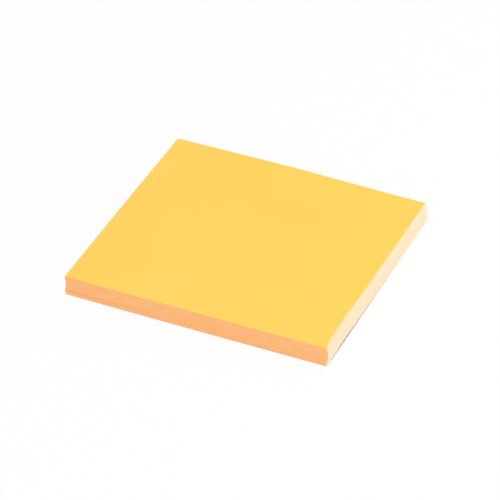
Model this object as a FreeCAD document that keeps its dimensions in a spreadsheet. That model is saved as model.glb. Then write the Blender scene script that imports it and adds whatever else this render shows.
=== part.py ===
"""Square pad of electrostatic film notes, as a parametric model.

The notes lie in a stack on a thin back card, and a coat of padding glue down
one side holds them as a pad. Millimetres, +Z up. The origin is the centre of
the pad's footprint, on the underside of the card. +X points to the glued side
(the bound edge), -X to the free edge, and Y runs along the bound edge.

The stack isn't square. Its notes are shifted along X a little, and its two
sides show it like this, here seen along +Y and much exaggerated:

      free edge                       bound edge
        .-----------------------------.--.
         )  leaning notes              )  )
         |  upright notes              |  |  glue
         '--.                        .-'  |
            |  foot of the stack     |    |
            >= slit                  |    |
            |________________________|____|
               =============================   back card
"""

import FreeCAD, Part

import math
import os
from typing import NamedTuple

import Sketcher
from FreeCAD import Vector

# Driving dimensions: millimetres, unless the name says otherwise.
SIZES = {
    # The notes.
    "pad_width": 100.0,  # free edge to bound edge
    "pad_depth": 100.0,  # along the bound edge
    "note_thickness": 0.075,
    # How many notes each stretch of the stack holds, from the card up.
    "notes_below_slit": 19,
    "notes_above_slit": 12,
    "notes_upright": 26,
    "notes_leaning": 43,
    # The bound side: how far its stretches stand from the nominal side and from each other.
    "bound_belly": 0.40,  # upright notes, out past the nominal side
    "bound_foot_step": 0.25,  # foot, behind the upright notes
    "bound_lean": 0.75,  # top note, behind the upright notes
    # The free side, the same way. The cut left the lower notes a little wider.
    "free_hollow": 0.05,
    "free_foot_step": 0.20,
    "free_lean": 0.40,
    # The slit between two notes, open at the free edge.
    "slit_gap": 0.15,
    "slit_reach": 38.0,
    # The padding glue, over the upright notes. It fills the step below them.
    "glue_coat": 0.20,
    # The back card.
    "card_thickness": 0.25,
    "card_margin": 2.5,  # inside the notes at the three unglued sides
    "card_lip": 0.10,  # past the glue's face at the bound side
}

# Heights that several features share.
SLIT_HEIGHT = "Sizes.notes_below_slit * Sizes.note_thickness"
FOOT_HEIGHT = SLIT_HEIGHT + " + Sizes.notes_above_slit * Sizes.note_thickness"
UPRIGHT_HEIGHT = "Sizes.notes_upright * Sizes.note_thickness"
LEAN_HEIGHT = "Sizes.notes_leaning * Sizes.note_thickness"


class Side(NamedTuple):
    """One side of the stack, as expressions of the driving sizes."""

    upright_x: str
    foot_step: str
    lean: str


BOUND_SIDE = Side(
    upright_x="Sizes.pad_width / 2 + Sizes.bound_belly",
    foot_step="Sizes.bound_foot_step",
    lean="Sizes.bound_lean",
)
FREE_SIDE = Side(
    upright_x="Sizes.free_hollow - Sizes.pad_width / 2",
    foot_step="Sizes.free_foot_step",
    lean="Sizes.free_lean",
)

# How a sketch's constraints name its origin and the points of an edge.
ORIGIN = (-1, 1)
START, END, CENTRE = range(1, 4)


def add_sizes(doc):
    """Put the driving dimensions in a sheet, each in a cell with its own name."""
    sheet = doc.addObject("Spreadsheet::Sheet", "Sizes")
    for row, (name, size) in enumerate(SIZES.items(), start=1):
        sheet.set(f"A{row}", name)
        sheet.set(f"B{row}", str(size))
        sheet.setAlias(f"B{row}", name)
    doc.recompute()


# Sketch tools.


def value(sketch, expression):
    """Work out an expression of the driving sizes."""
    return float(sketch.evalExpression(expression))


def add_sketch(body, name, plane):
    """Add an empty sketch on one of the body's own origin planes."""
    sketch = body.newObject("Sketcher::SketchObject", name)
    planes = {feature.Role: feature for feature in body.Origin.OriginFeatures}
    sketch.AttachmentSupport = [(planes[plane], "")]
    sketch.MapMode = "FlatFace"
    return sketch


def constrain(sketch, kind, *geometry):
    """Add a constraint that has no size."""
    sketch.addConstraint(Sketcher.Constraint(kind, *geometry))


def dimension(sketch, kind, *geometry, to):
    """Add a dimension and bind it to an expression of the driving sizes."""
    size = Sketcher.Constraint(kind, *geometry, value(sketch, to))
    sketch.setExpression(f"Constraints[{sketch.addConstraint(size)}]", to)


def draw_chain(sketch, edges):
    """Draw edges end to end and return the number of each by its name."""
    chain = {name: sketch.addGeometry(edge) for name, edge in edges.items()}
    numbers = list(chain.values())
    for edge, following in zip(numbers, numbers[1:]):
        constrain(sketch, "Coincident", edge, END, following, START)
    return chain


def draw_between(sketch, start, end):
    """Close an outline with a straight edge between two of its points, and return its number."""
    points = [sketch.getPoint(*point) for point in (start, end)]
    edge = sketch.addGeometry(Part.LineSegment(*points))
    constrain(sketch, "Coincident", edge, START, *start)
    constrain(sketch, "Coincident", edge, END, *end)
    return edge


def add_pad(body, sketch, side_type, length):
    """Pad a closed outline by a length, which is an expression of the driving sizes."""
    pad = body.newObject("PartDesign::Pad", f"{body.Name}_pad")
    pad.Profile = sketch
    pad.SideType = side_type
    pad.setExpression("Length", length)


# A side of the stack.


def lean_arc(sketch, side, belly, coat=0.0):
    """Arc from the belly, where it is upright, back to the top note's level."""
    rise = value(sketch, LEAN_HEIGHT)
    setback = value(sketch, side.lean)
    radius = (rise**2 + setback**2) / (2 * setback) + coat
    circle = Part.Circle(belly - Vector(radius, 0, 0), Vector(0, 0, 1), radius)
    return Part.ArcOfCircle(circle, 0, math.asin(rise / radius))


def side_edges(sketch, side):
    """Edges of one side of the stack, from the card up."""
    step = Vector(value(sketch, side.foot_step), 0, 0)
    foot = Vector(value(sketch, side.upright_x), value(sketch, "Sizes.card_thickness"), 0) - step
    inner = foot + Vector(0, value(sketch, FOOT_HEIGHT), 0)
    outer = inner + step
    belly = outer + Vector(0, value(sketch, UPRIGHT_HEIGHT), 0)
    return {
        "foot": Part.LineSegment(foot, inner),
        "ledge": Part.LineSegment(inner, outer),
        "upright": Part.LineSegment(outer, belly),
        "lean": lean_arc(sketch, side, belly),
    }


def size_side(sketch, side, chain):
    """Hold one side of the stack at its place and its heights."""
    foot, ledge, upright, lean = (chain[name] for name in ("foot", "ledge", "upright", "lean"))
    foot_top = chain.get("foot_over_slit", foot)
    dimension(sketch, "DistanceX", *ORIGIN, upright, START, to=side.upright_x)
    dimension(sketch, "DistanceY", *ORIGIN, foot, START, to="Sizes.card_thickness")
    dimension(sketch, "DistanceY", foot, START, foot_top, END, to=FOOT_HEIGHT)
    dimension(sketch, "DistanceX", ledge, START, ledge, END, to=side.foot_step)
    dimension(sketch, "DistanceY", upright, START, upright, END, to=UPRIGHT_HEIGHT)
    dimension(sketch, "DistanceY", lean, START, lean, END, to=LEAN_HEIGHT)
    dimension(sketch, "DistanceX", lean, END, lean, START, to=side.lean)
    constrain(sketch, "Vertical", foot)
    constrain(sketch, "Horizontal", ledge)
    constrain(sketch, "Vertical", upright)
    constrain(sketch, "Horizontal", lean, CENTRE, lean, START)


# The free side has the slit in its foot.


def slit_side_edges(sketch, side):
    """Edges of the side with the slit, a thin wedge that closes inside the stack."""
    edges = side_edges(sketch, side)
    foot = edges.pop("foot")
    lip = foot.StartPoint + Vector(0, value(sketch, SLIT_HEIGHT), 0)
    apex = lip + Vector(value(sketch, "Sizes.slit_reach"), 0, 0)
    roof = lip + Vector(0, value(sketch, "Sizes.slit_gap"), 0)
    slit = {
        "foot": Part.LineSegment(foot.StartPoint, lip),
        "slit_floor": Part.LineSegment(lip, apex),
        "slit_roof": Part.LineSegment(apex, roof),
        "foot_over_slit": Part.LineSegment(roof, foot.EndPoint),
    }
    return slit | edges


def size_slit(sketch, chain):
    """Hold the slit at its height, its gap and its reach."""
    foot, floor, roof = (chain[name] for name in ("foot", "slit_floor", "slit_roof"))
    dimension(sketch, "DistanceY", foot, START, foot, END, to=SLIT_HEIGHT)
    dimension(sketch, "DistanceX", floor, START, floor, END, to="Sizes.slit_reach")
    dimension(sketch, "DistanceY", roof, START, roof, END, to="Sizes.slit_gap")
    constrain(sketch, "Horizontal", floor)
    constrain(sketch, "Vertical", foot, END, roof, END)
    constrain(sketch, "Vertical", chain["foot_over_slit"])


# The three pieces.


def make_note_sheets(doc):
    """The stack: one section through both its sides, padded along the bound edge."""
    body = doc.addObject("PartDesign::Body", "note_sheets")
    sketch = add_sketch(body, "stack_section", "XZ_Plane")
    bound = draw_chain(sketch, side_edges(sketch, BOUND_SIDE))
    free = draw_chain(sketch, slit_side_edges(sketch, FREE_SIDE))
    draw_between(sketch, (free["foot"], START), (bound["foot"], START))
    draw_between(sketch, (free["lean"], END), (bound["lean"], END))
    size_side(sketch, BOUND_SIDE, bound)
    size_side(sketch, FREE_SIDE, free)
    size_slit(sketch, free)
    add_pad(body, sketch, "Symmetric", "Sizes.pad_depth")


def glue_face_edges(sketch):
    """Edges of the glue's outer face: straight down from the belly, and round the lean."""
    bound = side_edges(sketch, BOUND_SIDE)
    coat = Vector(value(sketch, "Sizes.glue_coat"), 0, 0)
    belly = bound["upright"].EndPoint + coat
    foot = Vector(belly.x, value(sketch, "Sizes.card_thickness"), 0)
    return {
        "upright": Part.LineSegment(foot, belly),
        "lean": lean_arc(sketch, BOUND_SIDE, belly, coat.x),
    }


def make_binding_glue(doc):
    """The glue: between the bound side of the stack and its own outer face."""
    body = doc.addObject("PartDesign::Body", "binding_glue")
    sketch = add_sketch(body, "glue_section", "XZ_Plane")
    stack = draw_chain(sketch, side_edges(sketch, BOUND_SIDE))
    face = draw_chain(sketch, glue_face_edges(sketch))
    bottom = draw_between(sketch, (stack["foot"], START), (face["upright"], START))
    top = draw_between(sketch, (stack["lean"], END), (face["lean"], END))
    size_side(sketch, BOUND_SIDE, stack)
    dimension(sketch, "DistanceX", stack["upright"], START, face["upright"], START, to="Sizes.glue_coat")
    constrain(sketch, "Vertical", face["upright"])
    constrain(sketch, "Horizontal", bottom)
    constrain(sketch, "Horizontal", top)
    constrain(sketch, "Coincident", stack["lean"], CENTRE, face["lean"], CENTRE)
    constrain(sketch, "Horizontal", face["lean"], CENTRE, face["lean"], START)
    add_pad(body, sketch, "Symmetric", "Sizes.pad_depth")


def make_back_card(doc):
    """The card, inside the notes at three sides and a little past the glue at the bound side."""
    free_edge_x = f"{FREE_SIDE.upright_x} - {FREE_SIDE.foot_step} + Sizes.card_margin"
    bound_edge_x = f"{BOUND_SIDE.upright_x} + Sizes.glue_coat + Sizes.card_lip"
    depth = "Sizes.pad_depth - 2 * Sizes.card_margin"

    body = doc.addObject("PartDesign::Body", "back_card")
    sketch = add_sketch(body, "card_outline", "XY_Plane")
    along = Vector(0, value(sketch, depth), 0)
    edges = []
    for edge_x in (free_edge_x, bound_edge_x):
        start = Vector(value(sketch, edge_x), 0, 0) - along / 2
        edges.append(sketch.addGeometry(Part.LineSegment(start, start + along)))
        dimension(sketch, "DistanceX", *ORIGIN, edges[-1], START, to=edge_x)
        constrain(sketch, "Vertical", edges[-1])
    free, bound = edges
    for corner in (START, END):
        constrain(sketch, "Horizontal", draw_between(sketch, (free, corner), (bound, corner)))
    dimension(sketch, "DistanceY", bound, START, bound, END, to=depth)
    dimension(sketch, "DistanceY", bound, START, *ORIGIN, to=f"({depth}) / 2")
    add_pad(body, sketch, "One side", "Sizes.card_thickness")


def check(doc):
    """Stop unless every feature worked and every piece is one valid solid."""
    for item in doc.Objects:
        if {"Invalid", "Error"} & set(item.State):
            raise RuntimeError(f"{item.Label} failed: {item.State}")
        if item.TypeId == "Sketcher::SketchObject" and not item.FullyConstrained:
            raise RuntimeError(f"{item.Label} isn't fully constrained")
    for body in doc.findObjects("PartDesign::Body"):
        shape = body.Shape
        if shape.isNull() or not shape.isValid() or len(shape.Solids) != 1:
            raise RuntimeError(f"{body.Label} isn't one valid solid")


def write(doc):
    """Write each piece to a STEP file named after it."""
    os.makedirs("parts", exist_ok=True)
    for body in doc.findObjects("PartDesign::Body"):
        body.Shape.exportStep(f"parts/{body.Label}.step")
        box = body.Shape.BoundBox
        print(
            f"{body.Label}: x {box.XMin:.3f}..{box.XMax:.3f}, y {box.YMin:.3f}..{box.YMax:.3f}, "
            f"z {box.ZMin:.3f}..{box.ZMax:.3f} mm, volume {body.Shape.Volume:.1f} mm3"
        )


def main():
    """Model the three pieces, check them and write them."""
    doc = FreeCAD.newDocument("static_note_pad")
    add_sizes(doc)
    make_note_sheets(doc)
    make_binding_glue(doc)
    make_back_card(doc)
    doc.recompute()
    check(doc)
    write(doc)


main()
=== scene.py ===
"""Looks for a square pad of electrostatic film notes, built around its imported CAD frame.

Metres, in the frame's own axes: +X points to the glued (bound) edge, -X to the free edge, Y runs along
the bound edge, +Z goes up through the stack, and the origin is under the middle of the back card.

The pad has three pieces, and each takes its place and its outline from the CAD node that it stands for:
the stack of film notes, the coat of padding glue down one side, and the grey card under them.
"""

import logging
import math
from dataclasses import dataclass
from enum import Enum, IntEnum
from typing import Any

import bmesh
import bpy
from mathutils import Matrix, Vector, noise
from mathutils.bvhtree import BVHTree


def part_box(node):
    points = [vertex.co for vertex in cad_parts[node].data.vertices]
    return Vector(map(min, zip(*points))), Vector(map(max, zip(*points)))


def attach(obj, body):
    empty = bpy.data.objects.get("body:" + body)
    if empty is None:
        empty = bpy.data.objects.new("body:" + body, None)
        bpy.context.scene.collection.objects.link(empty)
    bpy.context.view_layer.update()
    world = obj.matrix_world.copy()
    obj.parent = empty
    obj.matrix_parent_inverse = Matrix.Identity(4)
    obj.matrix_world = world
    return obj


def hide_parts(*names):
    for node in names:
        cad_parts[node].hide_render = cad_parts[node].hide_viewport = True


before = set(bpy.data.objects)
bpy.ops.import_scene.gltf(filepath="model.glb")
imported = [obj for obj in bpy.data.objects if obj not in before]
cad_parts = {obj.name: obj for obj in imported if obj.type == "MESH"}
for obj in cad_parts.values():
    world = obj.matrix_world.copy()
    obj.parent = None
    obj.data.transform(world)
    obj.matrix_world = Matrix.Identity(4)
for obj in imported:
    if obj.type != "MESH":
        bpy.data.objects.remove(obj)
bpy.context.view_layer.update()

MM = 0.001
# Points that are nearer to each other than this are one point.
SAME_POINT = 0.001 * MM

log = logging.getLogger("note_pad")


class Side(Enum):
    """The two sides that the stack's section shows, each with the way it faces along X."""

    FREE = -1
    BOUND = 1


# Reading the frame.


@dataclass(frozen=True)
class Solid:
    """The shape of one CAD node, read before any piece replaces it."""

    node: str
    low: Vector
    high: Vector
    points: list[Vector]
    skin: BVHTree

    @classmethod
    def read(cls, node: str) -> "Solid":
        """Read a CAD node's box, points and faces.

        Args:
            node: the node's name.

        Returns:
            The node's shape.
        """
        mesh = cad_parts[node].data
        points = [vertex.co.copy() for vertex in mesh.vertices]
        skin = BVHTree.FromPolygons(points, [face.vertices for face in mesh.polygons])
        return cls(node, *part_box(node), points, skin)

    def side_x(self, side: Side, height: float) -> float:
        """Find where a side stands.

        Args:
            side: the side to look at.
            height: the height to look at, which stays inside the solid.

        Returns:
            The X of the side there.
        """
        outside = Vector((2 * side.value * self.high.x, 0.0, height))
        place, *_ = self.skin.ray_cast(outside, Vector((-side.value, 0.0, 0.0)))
        return place.x


@dataclass(frozen=True)
class Slit:
    """The parting between two notes, open at the free edge and closed at its tip."""

    height: float
    tip_x: float
    gap: float

    @classmethod
    def read(cls, stack: Solid) -> "Slit":
        """Read the slit from the only points of the stack that aren't on its sides.

        Args:
            stack: the stack of notes.

        Returns:
            The stack's slit.
        """
        inner = [point for point in stack.points if abs(point.x) < stack.high.x / 2]
        tip = min(inner, key=lambda point: point.z)
        free_side = [point.z for point in stack.points if point.x < stack.low.x / 2]
        roof = min(height for height in free_side if height > tip.z + SAME_POINT)
        return cls(tip.z, tip.x, roof - tip.z)


# The pad's own irregularities.


@dataclass(frozen=True)
class Dent:
    """A soft change of shape, greatest at its centre and gone past its reach."""

    centre_mm: tuple[float, float, float]
    reach_mm: tuple[float, float, float]
    shift_mm: tuple[float, float, float]

    def shift(self, place: Vector) -> Vector:
        """Find how far the dent moves a place.

        Args:
            place: the place, before any dent moves it.

        Returns:
            The move.
        """
        axes = zip(place, self.centre_mm, self.reach_mm)
        away = sum(((at / MM - centre) / reach) ** 2 for at, centre, reach in axes)
        return Vector(self.shift_mm) * MM * math.exp(-away)


# What cutting, gluing and handling did to the stack and its glue.
DENTS = (
    # The blade squeezed the front corner of the bound side outwards.
    Dent((50.4, -50.0, 5.2), (4.0, 3.0, 5.0), (0.58, 0.0, 0.0)),
    # The glue drew the upper notes in along the front half of the bound side.
    Dent((50.0, -35.0, 7.75), (4.0, 8.0, 3.0), (-0.35, 0.0, 0.0)),
    Dent((50.0, -22.0, 7.75), (4.0, 16.0, 3.0), (-0.30, 0.0, 0.0)),
    # The foot of that side stands out a little at its front end and towards its back end, and is
    # hollow between them, where more of the card's edge shows.
    Dent((50.6, -46.0, 0.3), (4.0, 6.0, 1.0), (0.04, 0.0, 0.0)),
    Dent((50.6, -30.5, 0.3), (4.0, 10.5, 1.0), (-0.092, 0.0, 0.0)),
    Dent((50.6, 40.0, 0.3), (4.0, 46.0, 1.6), (0.205, 0.0, 0.0)),
    # The top notes lift a little at the middle of the back edge and at the front corner.
    Dent((-5.0, 50.0, 7.75), (22.0, 28.0, 5.0), (0.0, 0.0, 0.32)),
    Dent((42.0, -50.0, 7.75), (12.0, 9.0, 5.0), (0.0, 0.0, 0.15)),
    # The free edges of the top notes bow out a little, and so does the front corner just below them.
    Dent((-50.3, -8.0, 7.75), (4.0, 28.0, 3.0), (-0.11, 0.0, 0.0)),
    Dent((-50.3, -50.0, 6.9), (4.0, 12.0, 0.9), (-0.15, 0.0, 0.0)),
    # The far corners were pressed down in the wrapper.
    Dent((44.0, 50.0, 7.75), (20.0, 24.0, 6.0), (0.0, 0.0, -0.20)),
    Dent((-50.0, 50.0, 7.75), (10.0, 12.0, 6.0), (0.0, 0.0, -0.12)),
    # The lowest notes sag over the card's front edge, and their free corner is tucked in.
    Dent((-10.0, -50.0, 0.25), (52.0, 1.4, 1.0), (0.0, 0.0, -0.30)),
    Dent((-50.15, -50.0, 0.1), (6.0, 40.0, 0.7), (0.30, 0.0, 0.0)),
)


def settle(mesh: bpy.types.Mesh) -> None:
    """Give a mesh the pad's dents, and keep it on the floor.

    Args:
        mesh: the mesh to move.
    """
    for vertex in mesh.vertices:
        place = vertex.co.copy()
        for dent in DENTS:
            vertex.co += dent.shift(place)
        vertex.co.z = max(vertex.co.z, 0.0)


# Building meshes.


def new_piece(name: str, mesh: bpy.types.Mesh) -> bpy.types.Object:
    """Put a mesh in the scene as an object at the origin.

    Args:
        name: the object's name.
        mesh: its mesh.

    Returns:
        The object.
    """
    piece = bpy.data.objects.new(name, mesh)
    bpy.context.scene.collection.objects.link(piece)
    return piece


def new_mesh(name: str, shape: bmesh.types.BMesh) -> bpy.types.Mesh:
    """Turn a bmesh into a mesh, and free the bmesh.

    Args:
        name: the mesh's name.
        shape: the bmesh.

    Returns:
        The mesh.
    """
    mesh = bpy.data.meshes.new(name)
    shape.to_mesh(mesh)
    shape.free()
    return mesh


# Building node trees.


def add_node(tree: bpy.types.NodeTree, kind: str, inputs: dict[str | int, Any] | None = None,
             **settings: Any) -> bpy.types.Node:
    """Add a node with its settings, values and links.

    Args:
        tree: the tree that the node goes in.
        kind: the node's type.
        inputs: what goes into each input, by the input's name or number. It is a value, another node's
            output, or another node, which stands for its first output.
        **settings: the node's own properties.

    Returns:
        The new node.
    """
    node = tree.nodes.new(kind)
    for name, setting in settings.items():
        setattr(node, name, setting)
    for key, source in (inputs or {}).items():
        if isinstance(source, bpy.types.Node):
            source = source.outputs[0]
        if isinstance(source, bpy.types.NodeSocket):
            tree.links.new(source, node.inputs[key])
        else:
            node.inputs[key].default_value = source
    return node


def empty_tree(owner: bpy.types.Material | bpy.types.World) -> bpy.types.NodeTree:
    """Give a material or a world an empty node tree.

    Args:
        owner: the material or world.

    Returns:
        Its tree.
    """
    owner.use_nodes = True
    owner.node_tree.nodes.clear()
    return owner.node_tree


def linear(colour: str) -> tuple[float, float, float, float]:
    """Turn an sRGB hex colour into the linear colour that a shader takes.

    Args:
        colour: the colour as "#RRGGBB".

    Returns:
        Linear red, green and blue, and an alpha of 1.
    """
    parts = [int(colour[start:start + 2], 16) / 255 for start in (1, 3, 5)]
    # These numbers are those of the sRGB curve.
    red, green, blue = (
        part / 12.92 if part <= 0.04045 else ((part + 0.055) / 1.055) ** 2.4 for part in parts
    )
    return red, green, blue, 1.0


class ColourMix(IntEnum):
    """The sockets of a Mix node that mixes colours."""

    FIRST = 6
    SECOND = 7
    RESULT = 2


@dataclass(frozen=True)
class Pattern:
    """A noise pattern whose patches have a real size, and may be turned about Z.

    The noise is mostly near 0.5. The pattern grows from nothing to its full amount as the noise goes
    from start to end.
    """

    size_mm: tuple[float, float, float]
    amount: float = 1.0
    start: float = 0.35
    end: float = 0.65
    detail: float = 2.0
    turn_deg: float = 0.0


class Surface:
    """A new material with one Principled shader, which patterns then tint, dull and emboss."""

    def __init__(self, name: str, roughness: float, ior: float) -> None:
        """Make the material.

        Args:
            name: the material's name.
            roughness: the shader's roughness.
            ior: the shader's index of refraction.
        """
        self.material = bpy.data.materials.new(name)
        self.tree = empty_tree(self.material)
        feel = {"Roughness": roughness, "IOR": ior}
        self.shader = add_node(self.tree, "ShaderNodeBsdfPrincipled", feel)
        add_node(self.tree, "ShaderNodeOutputMaterial", {"Surface": self.shader})
        self.place = add_node(self.tree, "ShaderNodeTexCoord").outputs["Object"]

    def strength(self, pattern: Pattern) -> bpy.types.Node:
        """Draw a pattern on the object's own coordinates.

        Args:
            pattern: the pattern to draw.

        Returns:
            The node that gives how much of the pattern there is at each place, from 0 to its amount.
        """
        lie = {
            "Vector": self.place,
            "Rotation": (0.0, 0.0, math.radians(pattern.turn_deg)),
            "Scale": [size * MM for size in pattern.size_mm],
        }
        place = add_node(self.tree, "ShaderNodeMapping", lie, vector_type="TEXTURE")
        texture = {"Vector": place, "Scale": 1.0, "Detail": pattern.detail}
        patches = add_node(self.tree, "ShaderNodeTexNoise", texture)
        limits = {
            "Value": patches,
            "From Min": pattern.start,
            "From Max": pattern.end,
            "To Max": pattern.amount,
        }
        return add_node(self.tree, "ShaderNodeMapRange", limits)

    def tint(self, base: str, *layers: tuple[str, Pattern]) -> None:
        """Colour the surface.

        Args:
            base: the hex colour of the whole surface.
            *layers: hex colours that go over it, each with the pattern that it shows in.
        """
        colour = linear(base)
        for over, pattern in layers:
            parts = {
                "Factor": self.strength(pattern),
                ColourMix.FIRST: colour,
                ColourMix.SECOND: linear(over),
            }
            mix = add_node(self.tree, "ShaderNodeMix", parts, data_type="RGBA")
            colour = mix.outputs[ColourMix.RESULT]
        self.tree.links.new(colour, self.shader.inputs["Base Color"])

    def dull(self, roughness: float, pattern: Pattern) -> None:
        """Raise the roughness from its own value by a pattern.

        Args:
            roughness: the least roughness.
            pattern: where more is added, up to the pattern's amount.
        """
        parts = {0: self.strength(pattern), 1: roughness}
        total = add_node(self.tree, "ShaderNodeMath", parts, operation="ADD")
        self.tree.links.new(total.outputs["Value"], self.shader.inputs["Roughness"])

    def emboss(self, height_mm: float, *patterns: Pattern) -> None:
        """Raise patterns out of the surface as bumps, one on another.

        Args:
            height_mm: how high each pattern stands.
            *patterns: the patterns.
        """
        below = {}
        for pattern in patterns:
            bump = {"Height": self.strength(pattern), "Distance": height_mm * MM}
            normal = add_node(self.tree, "ShaderNodeBump", bump | below).outputs["Normal"]
            below = {"Normal": normal}
        self.tree.links.new(normal, self.shader.inputs["Normal"])


# Finishes.


@dataclass(frozen=True)
class WriteOnFilm:
    """Polypropylene film, cast with a yellow tint and a matt coat that takes ink.

    To the eye it is an even, satin yellow. Where the film clings to the next note the tint looks a
    little fuller, in soft clouds some centimetres wide.
    """

    yellow: str = "#FFD150"
    pale: str = "#FFD65D"
    full: str = "#FFCD48"
    roughness: float = 0.5
    ior: float = 1.49
    cling: Pattern = Pattern((46.0, 38.0, 20.0), amount=0.35)
    haze: Pattern = Pattern((70.0, 90.0, 40.0), amount=0.5)
    # The coat's grain is about 0.02 mm, which is too fine to show, so it is drawn coarser.
    coat_grain: Pattern = Pattern((0.45, 0.45, 0.45))
    coat_grain_mm: float = 0.004
    sheen_change: Pattern = Pattern((25.0, 25.0, 25.0), amount=0.08)

    def make(self) -> bpy.types.Material:
        """Make the material of the notes' faces.

        Returns:
            The material.
        """
        surface = Surface("write_on_film", self.roughness, self.ior)
        surface.tint(self.yellow, (self.pale, self.haze), (self.full, self.cling))
        surface.dull(self.roughness, self.sheen_change)
        surface.emboss(self.coat_grain_mm, self.coat_grain)
        return surface.material


@dataclass(frozen=True)
class CutFilmEdge:
    """The same film where a guillotine cut the stack.

    Light that comes out of a cut edge has run a long way inside the tinted film, so the eye sees a
    deep peach orange. The blade leaves faint upright marks, and the notes faint level ones.
    """

    peach: str = "#FDBC7F"
    deep: str = "#FBB375"
    light: str = "#FEC48A"
    roughness: float = 0.55
    ior: float = 1.49
    # A note is 0.075 mm thick, which is too fine to show, so the level marks stand for bundles of notes.
    bundles: Pattern = Pattern((30.0, 30.0, 0.45), amount=0.5)
    blade_marks: Pattern = Pattern((0.7, 0.7, 18.0), amount=0.25)
    pressure: Pattern = Pattern((14.0, 14.0, 4.0), amount=0.35)
    mark_height_mm: float = 0.01

    def make(self) -> bpy.types.Material:
        """Make the material of the notes' cut edges.

        Returns:
            The material.
        """
        surface = Surface("cut_film_edge", self.roughness, self.ior)
        layers = (self.light, self.bundles), (self.deep, self.pressure), (self.deep, self.blade_marks)
        surface.tint(self.peach, *layers)
        surface.emboss(self.mark_height_mm, self.bundles, self.blade_marks)
        return surface.material


@dataclass(frozen=True)
class PaddingGlue:
    """PVA padding glue, brushed along the side in two coats and dried.

    It dries to a skin with a soft gloss. Its pale milky cream is partly the glue's own colour and partly
    painted sheen, the brightness that a strong light lays along this side. Strokes of the brush run
    along it, and it is a little more yellow where it is thin over the notes.
    """

    # Partly the glue's own colour and partly painted sheen: the brightness of a strong light along this
    # side.
    milk_and_sheen: str = "#FDE6C2"
    thin: str = "#FCDDAE"
    thick: str = "#FEEDD2"
    roughness: float = 0.38
    ior: float = 1.46
    strokes: Pattern = Pattern((0.5, 26.0, 0.6), amount=0.45)
    coats: Pattern = Pattern((10.0, 18.0, 5.0), amount=0.5)
    # The notes under the glue are 0.075 mm apart, so these lines stand for bundles of them.
    note_lines: Pattern = Pattern((1.0, 60.0, 0.35), amount=0.3)
    stroke_height_mm: float = 0.015

    def make(self) -> bpy.types.Material:
        """Make the material of the glue.

        Returns:
            The material.
        """
        surface = Surface("padding_glue", self.roughness, self.ior)
        layers = (self.thick, self.coats), (self.thin, self.strokes), (self.thin, self.note_lines)
        surface.tint(self.milk_and_sheen, *layers)
        surface.emboss(self.stroke_height_mm, self.strokes, self.note_lines)
        return surface.material


@dataclass(frozen=True)
class GreyBoard:
    """Grey board, rolled from recycled paper pulp and left uncoated.

    It is dead matt, a grey with a trace of violet from old print, and shows pale fibres and dark specks.
    """

    grey: str = "#7E758F"
    pale: str = "#A79FB0"
    dark: str = "#564F62"
    roughness: float = 0.92
    ior: float = 1.5
    mottle: Pattern = Pattern((1.8, 1.8, 1.8), amount=0.3)
    # Pulp fibres lie every way. They are 1 to 3 mm long and 0.03 mm wide, and are drawn wider to show.
    fibres: tuple[Pattern, ...] = tuple(
        Pattern((3.0, 0.4, 0.6), amount=0.5, start=0.58, end=0.7, turn_deg=turn)
        for turn in (15.0, 70.0, 130.0)
    )
    # The specks are about 0.2 mm, and are drawn larger too.
    specks: Pattern = Pattern((0.6, 0.6, 0.6), amount=0.8, start=0.66, end=0.72)
    fibre_height_mm: float = 0.015

    def make(self) -> bpy.types.Material:
        """Make the material of the card.

        Returns:
            The material.
        """
        surface = Surface("grey_board", self.roughness, self.ior)
        fibres = ((self.pale, layer) for layer in self.fibres)
        surface.tint(self.grey, (self.pale, self.mottle), *fibres, (self.dark, self.specks))
        surface.emboss(self.fibre_height_mm, *self.fibres)
        return surface.material


# The pad's three pieces.


InputValue = float | int | bpy.types.Material


class NodeModifier:
    """A Geometry Nodes tree with one named input for each value that it is given."""

    KINDS = {float: "NodeSocketFloat", int: "NodeSocketInt", bpy.types.Material: "NodeSocketMaterial"}

    def __init__(self, name: str, values: dict[str, InputValue]) -> None:
        """Make an empty tree and its inputs.

        Args:
            name: the tree's name.
            values: the inputs' values by their names.
        """
        self.tree = bpy.data.node_groups.new(name, "GeometryNodeTree")
        new_socket = self.tree.interface.new_socket
        new_socket("Geometry", in_out="OUTPUT", socket_type="NodeSocketGeometry")
        new_socket("Geometry", in_out="INPUT", socket_type="NodeSocketGeometry")
        self.values = {
            new_socket(label, in_out="INPUT", socket_type=self.KINDS[type(value)]).identifier: value
            for label, value in values.items()
        }
        self.inputs = add_node(self.tree, "NodeGroupInput").outputs

    def end(self, geometry: bpy.types.Node) -> None:
        """Send a node's geometry out of the tree."""
        add_node(self.tree, "NodeGroupOutput", {"Geometry": geometry})

    def apply(self, piece: bpy.types.Object) -> None:
        """Run the tree on a piece, and leave a plain mesh without the modifier.

        Args:
            piece: the piece.
        """
        modifier = piece.modifiers.new(self.tree.name, "NODES")
        modifier.node_group = self.tree
        for identifier, value in self.values.items():
            modifier[identifier] = value
        evaluated = piece.evaluated_get(bpy.context.evaluated_depsgraph_get())
        mesh = bpy.data.meshes.new_from_object(evaluated)
        piece.modifiers.clear()
        piece.data = mesh


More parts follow.
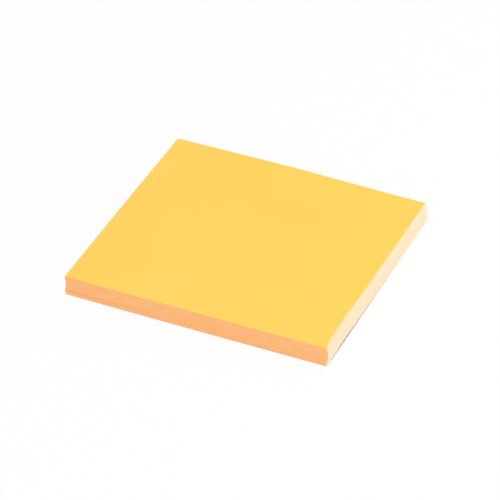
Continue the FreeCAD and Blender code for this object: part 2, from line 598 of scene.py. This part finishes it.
@dataclass
class NoteStack:
    """The stack of loose notes, which follows the CAD stack's two sides and opens at the slit."""

    solid: Solid
    slit: Slit
    face: WriteOnFilm
    edge: CutFilmEdge
    pitch: float = 0.075 * MM
    # Thinner than the pitch by the air that clings between two notes, which the slit squeezes out.
    film: float = 0.0725 * MM
    cells_across: int = 8
    cells_along: int = 20
    most_shift: float = 0.02 * MM
    most_turn: float = math.radians(0.012)
    seed: int = 11

    def build(self) -> bpy.types.Object:
        """Lay the notes, part them at the slit and dress them.

        Returns:
            The notes as one piece.
        """
        piece = new_piece("film_notes", self.places())
        modifier = NodeModifier("laid_notes", {
            "Note Depth": self.solid.high.y - self.solid.low.y,
            "Film Thickness": self.film,
            "Cells Across": self.cells_across,
            "Cells Along": self.cells_along,
            "Most Shift": self.most_shift,
            "Most Turn": self.most_turn,
            "Slit Tip": self.slit.tip_x,
            "Slit Mouth": self.solid.side_x(Side.FREE, self.slit.height - self.pitch),
            "Seed": self.seed,
            "Face Material": self.face.make(),
            "Edge Material": self.edge.make(),
        })
        notes = self.lay(modifier, self.cut_note(modifier))
        parted = self.open_slit(modifier, notes)
        modifier.end(self.dress(modifier, parted))
        modifier.apply(piece)
        settle(piece.data)
        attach(piece, "root")
        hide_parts(self.solid.node)
        return piece

    def places(self) -> bpy.types.Mesh:
        """Make one point for each note, at its middle.

        Returns:
            A mesh of points. Each carries its note's width, and its lift at the slit's mouth.
        """
        low, high = self.solid.low, self.solid.high
        count = round((high.z - low.z) / self.pitch)
        first_over_slit = round((self.slit.height - low.z) / self.pitch)
        middles, widths, lifts = [], [], []
        for number in range(count):
            height = low.z + (number + 0.5) * self.pitch
            fade = (count - number) / (count - first_over_slit) if number >= first_over_slit else 0.0
            lift = self.slit.gap * fade
            free = self.solid.side_x(Side.FREE, min(height + lift, high.z - self.pitch / 2))
            bound = self.solid.side_x(Side.BOUND, height)
            middles.append(((free + bound) / 2, (low.y + high.y) / 2, height))
            widths.append(bound - free)
            lifts.append(lift)
        mesh = bpy.data.meshes.new("note_places")
        mesh.from_pydata(middles, [], [])
        for name, values in (("width", widths), ("lift", lifts)):
            mesh.attributes.new(name, "FLOAT", "POINT").data.foreach_set("value", values)
        return mesh

    @staticmethod
    def cut_note(modifier: NodeModifier) -> bpy.types.Node:
        """Cut one note, a metre wide, with its middle at the origin.

        Its cells are closer together towards its two ends, where the corners bend most: each Y is the
        sine of its share of a half turn.

        Args:
            modifier: the tree to add to.

        Returns:
            The node that gives the note.
        """
        tree, inputs = modifier.tree, modifier.inputs
        depth = inputs["Note Depth"]
        edges = {"X": 1.0, "Y": depth, "Z": inputs["Film Thickness"]}
        size = add_node(tree, "ShaderNodeCombineXYZ", edges)
        across = add_node(tree, "ShaderNodeMath", {0: inputs["Cells Across"], 1: 1}, operation="ADD")
        along = add_node(tree, "ShaderNodeMath", {0: inputs["Cells Along"], 1: 1}, operation="ADD")
        sheet = add_node(tree, "GeometryNodeMeshCube", {
            "Size": size, "Vertices X": across, "Vertices Y": along, "Vertices Z": 2})

        at = add_node(tree, "GeometryNodeInputPosition")
        place = add_node(tree, "ShaderNodeSeparateXYZ", {"Vector": at}).outputs
        share = add_node(tree, "ShaderNodeMath", {0: place["Y"], 1: depth}, operation="DIVIDE")
        turn = add_node(tree, "ShaderNodeMath", {0: share, 1: math.pi}, operation="MULTIPLY")
        sine = add_node(tree, "ShaderNodeMath", {0: turn}, operation="SINE")
        half = add_node(tree, "ShaderNodeMath", {0: depth, 1: 0.5}, operation="MULTIPLY")
        y = add_node(tree, "ShaderNodeMath", {0: sine, 1: half}, operation="MULTIPLY")
        crowded = add_node(tree, "ShaderNodeCombineXYZ", {"X": place["X"], "Y": y, "Z": place["Z"]})
        return add_node(tree, "GeometryNodeSetPosition", {"Geometry": sheet, "Position": crowded})

    @staticmethod
    def lay(modifier: NodeModifier, note: bpy.types.Node) -> bpy.types.Node:
        """Lay a note at each point, a little out of true.

        Args:
            modifier: the tree to add to, whose geometry is the points.
            note: the node that gives one note, a metre wide.

        Returns:
            The node that gives all the notes, each with its point's attributes.
        """
        tree, inputs = modifier.tree, modifier.inputs
        limits = {"Min": (-1, -1, -1), "Max": (1, 1, 1), "Seed": inputs["Seed"]}
        chance = add_node(tree, "FunctionNodeRandomValue", limits, data_type="FLOAT_VECTOR")
        most = inputs["Most Shift"]
        most_shift = add_node(tree, "ShaderNodeCombineXYZ", {"X": most, "Y": most})
        shift = add_node(tree, "ShaderNodeVectorMath", {0: chance, 1: most_shift}, operation="MULTIPLY")
        moved = {"Geometry": inputs["Geometry"], "Offset": shift}
        points = add_node(tree, "GeometryNodeSetPosition", moved)
        most_turn = add_node(tree, "ShaderNodeCombineXYZ", {"Z": inputs["Most Turn"]})
        turn = add_node(tree, "ShaderNodeVectorMath", {0: chance, 1: most_turn}, operation="MULTIPLY")
        width = add_node(tree, "GeometryNodeInputNamedAttribute", {"Name": "width"}, data_type="FLOAT")
        stretch = add_node(tree, "ShaderNodeCombineXYZ", {"X": width, "Y": 1.0, "Z": 1.0})
        laid = add_node(tree, "GeometryNodeInstanceOnPoints", {
            "Points": points, "Instance": note, "Rotation": turn, "Scale": stretch})
        return add_node(tree, "GeometryNodeRealizeInstances", {"Geometry": laid})

    @staticmethod
    def open_slit(modifier: NodeModifier, notes: bpy.types.Node) -> bpy.types.Node:
        """Bend up the notes over the slit, along a quarter of a sine wave from its tip to its mouth.

        Args:
            modifier: the tree to add to.
            notes: the node that gives the notes, with the lift of each at the mouth.

        Returns:
            The node that gives the bent notes.
        """
        tree, inputs = modifier.tree, modifier.inputs
        at = add_node(tree, "GeometryNodeInputPosition")
        x = add_node(tree, "ShaderNodeSeparateXYZ", {"Vector": at}).outputs["X"]
        turn = add_node(tree, "ShaderNodeMapRange", {
            "Value": x,
            "From Min": inputs["Slit Tip"],
            "From Max": inputs["Slit Mouth"],
            "To Max": math.pi / 2,
        })
        opening = add_node(tree, "ShaderNodeMath", {0: turn}, operation="SINE")
        lift = add_node(tree, "GeometryNodeInputNamedAttribute", {"Name": "lift"}, data_type="FLOAT")
        rise = add_node(tree, "ShaderNodeMath", {0: opening, 1: lift}, operation="MULTIPLY")
        up = add_node(tree, "ShaderNodeCombineXYZ", {"Z": rise})
        return add_node(tree, "GeometryNodeSetPosition", {"Geometry": notes, "Offset": up})

    @staticmethod
    def dress(modifier: NodeModifier, notes: bpy.types.Node) -> bpy.types.Node:
        """Give the notes' faces and cut edges their own materials.

        Args:
            modifier: the tree to add to.
            notes: the node that gives the notes.

        Returns:
            The node that gives the dressed notes.
        """
        tree, inputs = modifier.tree, modifier.inputs
        every = {"Geometry": notes, "Material": inputs["Face Material"]}
        faced = add_node(tree, "GeometryNodeSetMaterial", every)
        # A note's edges face sideways, and its two faces nearly straight up and down.
        normal = add_node(tree, "GeometryNodeInputNormal")
        z = add_node(tree, "ShaderNodeSeparateXYZ", {"Vector": normal}).outputs["Z"]
        flatness = add_node(tree, "ShaderNodeMath", {0: z}, operation="ABSOLUTE")
        is_edge = add_node(tree, "ShaderNodeMath", {0: flatness, 1: 0.5}, operation="LESS_THAN")
        cut = {"Geometry": faced, "Selection": is_edge, "Material": inputs["Edge Material"]}
        return add_node(tree, "GeometryNodeSetMaterial", cut)


@dataclass
class BindingGlue:
    """The coat of glue down the bound side, drawn as sections through it, one after another along Y.

    A section is a ladder. Each rung joins the coat's face to its back, which lies on the notes.
    """

    solid: Solid
    stack: Solid
    finish: PaddingGlue
    sections: int = 120
    levels: int = 24
    lip_levels: int = 5
    lip_radius: float = 0.12 * MM
    wave: float = 0.035 * MM
    wave_along: float = 9 * MM
    wave_up: float = 2.5 * MM
    crease: float = math.radians(40)
    # How far inside the coat's ends the rays are cast that find its two faces.
    clear: float = 0.001 * MM

    def build(self) -> bpy.types.Object:
        """Draw the coat and dress it.

        Returns:
            The coat as one piece.
        """
        mesh = new_mesh("binding_coat", self.shape())
        settle(mesh)
        mesh.shade_smooth()
        mesh.set_sharp_from_angle(angle=self.crease)
        mesh.materials.append(self.finish.make())
        piece = new_piece("binding_coat", mesh)
        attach(piece, "root")
        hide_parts(self.solid.node)
        return piece

    def shape(self) -> bmesh.types.BMesh:
        """Join the sections one to the next, and close the two end ones with their rungs.

        Returns:
            A closed shape whose faces point outwards.
        """
        low, high = self.solid.low.y, self.solid.high.y
        shape = bmesh.new()
        loops = []
        for number in range(self.sections + 1):
            face, back = self.section(low + (high - low) * number / self.sections)
            loops.append([shape.verts.new(point) for point in face + back[::-1]])
        for loop, following in zip(loops, loops[1:]):
            for here in range(len(loop)):
                shape.faces.new((loop[here - 1], loop[here], following[here], following[here - 1]))
        for end in (loops[0], loops[-1]):
            for here in range(len(end) // 2 - 1):
                shape.faces.new((end[here], end[here + 1], end[-2 - here], end[-1 - here]))
        bmesh.ops.recalc_face_normals(shape, faces=shape.faces)
        return shape

    def section(self, y: float) -> tuple[list[Vector], list[Vector]]:
        """Draw the section at a place along Y.

        Args:
            y: the place.

        Returns:
            The points of the coat's face and of its back, each from the bottom up.
        """
        face, back = [], []
        for z in self.heights():
            x = self.solid.side_x(Side.BOUND, z) - self.lip(z) + self.waviness(y, z)
            face.append(Vector((x, y, z)))
            back.append(Vector((self.stack.side_x(Side.BOUND, z), y, z)))
        return face, back

    def heights(self) -> list[float]:
        """List the heights of the rungs, which are closer together at the lip.

        Returns:
            The heights, from the bottom up.
        """
        low, high = self.solid.low.z + self.clear, self.solid.high.z - self.clear
        lip = high - self.lip_radius
        body = [low + (lip - low) * level / self.levels for level in range(self.levels)]
        turns = [math.pi / 2 * step / self.lip_levels for step in range(self.lip_levels + 1)]
        return body + [lip + self.lip_radius * math.sin(turn) for turn in turns]

    def lip(self, height: float) -> float:
        """Find how far the rounded lip at the top lies behind the coat's face."""
        rise = max(0.0, height - (self.solid.high.z - self.lip_radius))
        return self.lip_radius - math.sqrt(max(0.0, self.lip_radius**2 - rise**2))

    def waviness(self, y: float, z: float) -> float:
        """Find how far a brush stroke stands out of, or behind, the coat's face."""
        return self.wave * noise.noise(Vector((0.0, y / self.wave_along, z / self.wave_up)))


@dataclass
class BackCard:
    """The card under the notes, with its corners rounded and its rim softened by handling."""

    solid: Solid
    finish: GreyBoard
    corner_radius: float = 2 * MM
    corner_steps: int = 6
    rim_radius: float = 0.04 * MM
    rim_steps: int = 2

    def build(self) -> bpy.types.Object:
        """Shape the card and dress it.

        Returns:
            The card as one piece.
        """
        mesh = new_mesh("grey_card", self.shape())
        mesh.materials.append(self.finish.make())
        piece = new_piece("grey_card", mesh)
        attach(piece, "root")
        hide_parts(self.solid.node)
        return piece

    def shape(self) -> bmesh.types.BMesh:
        """Join the card's outlines, one above another, and close the lowest and the highest.

        Returns:
            A closed shape whose faces point outwards.
        """
        shape = bmesh.new()
        rings = []
        for inset, height in self.levels():
            rings.append([shape.verts.new(point) for point in self.outline(inset, height)])
        for ring, above in zip(rings, rings[1:]):
            for here in range(len(ring)):
                shape.faces.new((ring[here - 1], ring[here], above[here], above[here - 1]))
        shape.faces.new(rings[0][::-1])
        shape.faces.new(rings[-1])
        return shape

    def levels(self) -> list[tuple[float, float]]:
        """List where the outlines go, which round the lower and the upper rim.

        Returns:
            How far each is drawn in, and its height, from the bottom up.
        """
        low, high = self.solid.low.z, self.solid.high.z
        turns = [math.pi / 2 * step / self.rim_steps for step in range(self.rim_steps + 1)]
        insets = [self.rim_radius * (1 - math.sin(turn)) for turn in turns]
        rises = [self.rim_radius * (1 - math.cos(turn)) for turn in turns]
        lower = [(inset, low + rise) for inset, rise in zip(insets, rises)]
        upper = [(inset, high - rise) for inset, rise in zip(insets, rises)]
        return lower + upper[::-1]

    def outline(self, inset: float, height: float) -> list[Vector]:
        """Draw the card's rounded outline, counter-clockwise as seen from above.

        Args:
            inset: how far it is drawn in.
            height: its height.

        Returns:
            Its points.
        """
        low, high, radius = self.solid.low, self.solid.high, self.corner_radius
        left, right = low.x + radius, high.x - radius
        front, back = low.y + radius, high.y - radius
        centres = (right, back), (left, back), (left, front), (right, front)
        points = []
        for quarter, (x, y) in enumerate(centres):
            for step in range(self.corner_steps + 1):
                turn = math.pi / 2 * (quarter + step / self.corner_steps)
                reach = Vector((math.cos(turn), math.sin(turn), 0.0)) * (radius - inset)
                points.append(Vector((x, y, height)) + reach)
        return points


# The studio.


def direction(azimuth: float, elevation: float) -> Vector:
    """Find the unit vector towards a bearing.

    Args:
        azimuth: the angle from -Y towards +X, in radians.
        elevation: the angle above the floor, in radians.

    Returns:
        The vector.
    """
    level = math.cos(elevation)
    return Vector((math.sin(azimuth) * level, -math.cos(azimuth) * level, math.sin(elevation)))


def hang(holder: bpy.types.Object, aim: Vector, towards: Vector, distance: float,
         roll: float = 0.0) -> None:
    """Put a camera or a light in the scene, turned to look at a place.

    Args:
        holder: the camera's or light's object.
        aim: the place.
        towards: the direction from the place to the object.
        distance: how far it is from the place.
        roll: its turn about its own line of sight, in radians.
    """
    turn = towards.to_track_quat("Z", "Y").to_matrix().to_4x4() @ Matrix.Rotation(roll, 4, "Z")
    holder.matrix_world = Matrix.Translation(aim + towards * distance) @ turn
    bpy.context.scene.collection.objects.link(holder)


@dataclass(frozen=True)
class Viewpoint:
    """A camera that looks at the top note from a distance through a long lens."""

    aim: tuple[float, float, float] = (2.936 * MM, -6.282 * MM, 7.75 * MM)
    azimuth: float = math.radians(21.41)
    elevation: float = math.radians(34.98)
    roll: float = math.radians(2.42)
    distance: float = 1.2444
    lens_mm: float = 247.89
    sensor_mm: float = 36.0

    def build(self) -> None:
        """Make the camera and use it for the scene."""
        camera = bpy.data.cameras.new("studio_camera")
        camera.lens = self.lens_mm
        camera.sensor_width = self.sensor_mm
        holder = bpy.data.objects.new("studio_camera", camera)
        hang(holder, Vector(self.aim), direction(self.azimuth, self.elevation), self.distance, self.roll)
        bpy.context.scene.camera = holder


@dataclass(frozen=True)
class SoftLight:
    """A square diffuser panel that points at the pad."""

    name: str
    azimuth: float
    elevation: float
    # What the panel alone adds to a white surface that faces it.
    level: float
    distance: float
    side: float = 0.4

    def build(self) -> None:
        """Make the light, with the power that gives its level at its distance."""
        lamp = bpy.data.lights.new(self.name, "AREA")
        lamp.size = self.side
        lamp.energy = self.level * (math.pi * self.distance) ** 2
        holder = bpy.data.objects.new(self.name, lamp)
        hang(holder, Vector(), direction(self.azimuth, self.elevation), self.distance)


@dataclass(frozen=True)
class Studio:
    """A white sweep with even light from all round, and two soft panels to give the pad its form."""

    # The piece that lies on the floor.
    lowest: bpy.types.Object
    ambient: float = 0.82
    paper: str = "#F4F4F4"
    # How much of the floor's own shade is seen. The rest is plain white.
    shade_seen: float = 0.07
    floor_reach: float = 3.0
    panels: tuple[SoftLight, ...] = (
        SoftLight("front_panel", azimuth=math.radians(5), elevation=math.radians(35),
                  level=0.16, distance=1.4),
        SoftLight("right_panel", azimuth=math.radians(110), elevation=math.radians(40),
                  level=0.2, distance=0.45),
    )

    def build(self) -> None:
        """Make the floor, the surroundings and the lights."""
        self.build_floor()
        self.build_world()
        for panel in self.panels:
            panel.build()

    @staticmethod
    def is_seen(tree: bpy.types.NodeTree) -> bpy.types.Node:
        """Find whether a ray comes from the camera, straight or by a reflection or through glass.

        Args:
            tree: the tree to add to.

        Returns:
            The node that gives 1 for such a ray, and 0 for any other.
        """
        path = add_node(tree, "ShaderNodeLightPath").outputs
        straight = {0: path["Is Camera Ray"], 1: path["Is Glossy Ray"]}
        either = add_node(tree, "ShaderNodeMath", straight, operation="MAXIMUM")
        through_glass = {0: either, 1: path["Is Transmission Ray"]}
        return add_node(tree, "ShaderNodeMath", through_glass, operation="MAXIMUM")

    def build_floor(self) -> None:
        """Make the floor, which is white to the eye, keeps the pad's shadow, and is clear from below."""
        material = bpy.data.materials.new("white_sweep")
        tree = empty_tree(material)
        paper = add_node(tree, "ShaderNodeBsdfDiffuse", {"Color": linear(self.paper)})
        white = add_node(tree, "ShaderNodeEmission")
        share = {0: self.is_seen(tree), 1: 1 - self.shade_seen}
        whiteness = add_node(tree, "ShaderNodeMath", share, operation="MULTIPLY")
        sweep = add_node(tree, "ShaderNodeMixShader", {0: whiteness, 1: paper, 2: white})
        clear = add_node(tree, "ShaderNodeBsdfTransparent")
        below = add_node(tree, "ShaderNodeNewGeometry").outputs["Backfacing"]
        both = add_node(tree, "ShaderNodeMixShader", {0: below, 1: sweep, 2: clear})
        add_node(tree, "ShaderNodeOutputMaterial", {"Surface": both})
        mesh = new_mesh("floor", self.floor_sheet())
        mesh.materials.append(material)
        new_piece("floor", mesh)

    def floor_sheet(self) -> bmesh.types.BMesh:
        """Spread the floor, open just where the lowest piece covers it, which lights its underside.

        Returns:
            A flat sheet that faces up.
        """
        piece = self.lowest.data
        underside = max(piece.polygons, key=lambda face: -face.normal.z * face.area)
        footprint = [piece.vertices[number].co for number in underside.vertices]
        reach = self.floor_reach
        corners = [(-reach, -reach, 0), (reach, -reach, 0), (reach, reach, 0), (-reach, reach, 0)]
        sheet = bmesh.new()
        for outline in (corners, footprint):
            points = [sheet.verts.new(point) for point in outline]
            for number, point in enumerate(points):
                sheet.edges.new((points[number - 1], point))
        bmesh.ops.triangle_fill(sheet, edges=sheet.edges, use_beauty=True, normal=(0, 0, 1))
        return sheet

    def build_world(self) -> None:
        """Make the surroundings, which are white to the eye and light the pad evenly."""
        world = bpy.data.worlds.new("white_room")
        tree = empty_tree(world)
        brightness = {"Value": self.is_seen(tree), "To Min": self.ambient}
        strength = add_node(tree, "ShaderNodeMapRange", brightness)
        glow = add_node(tree, "ShaderNodeBackground", {"Color": (1, 1, 1, 1), "Strength": strength})
        add_node(tree, "ShaderNodeOutputWorld", {"Surface": glow})
        bpy.context.scene.world = world


def main() -> None:
    """Build the pad's pieces, then the studio around them."""
    logging.basicConfig(level=logging.INFO, format="%(message)s")
    bpy.context.scene.view_settings.view_transform = "Standard"
    Viewpoint().build()
    notes, glue, card = (Solid.read(node) for node in ("note_sheets", "binding_glue", "back_card"))
    parts = (
        NoteStack(notes, Slit.read(notes), WriteOnFilm(), CutFilmEdge()),
        BindingGlue(glue, notes, PaddingGlue()),
        BackCard(card, GreyBoard()),
    )
    pieces = []
    for part in parts:
        pieces.append(part.build())
        log.info("%s: %d faces", pieces[-1].name, len(pieces[-1].data.polygons))
    Studio(lowest=pieces[-1]).build()


if __name__ == "__main__":
    main()
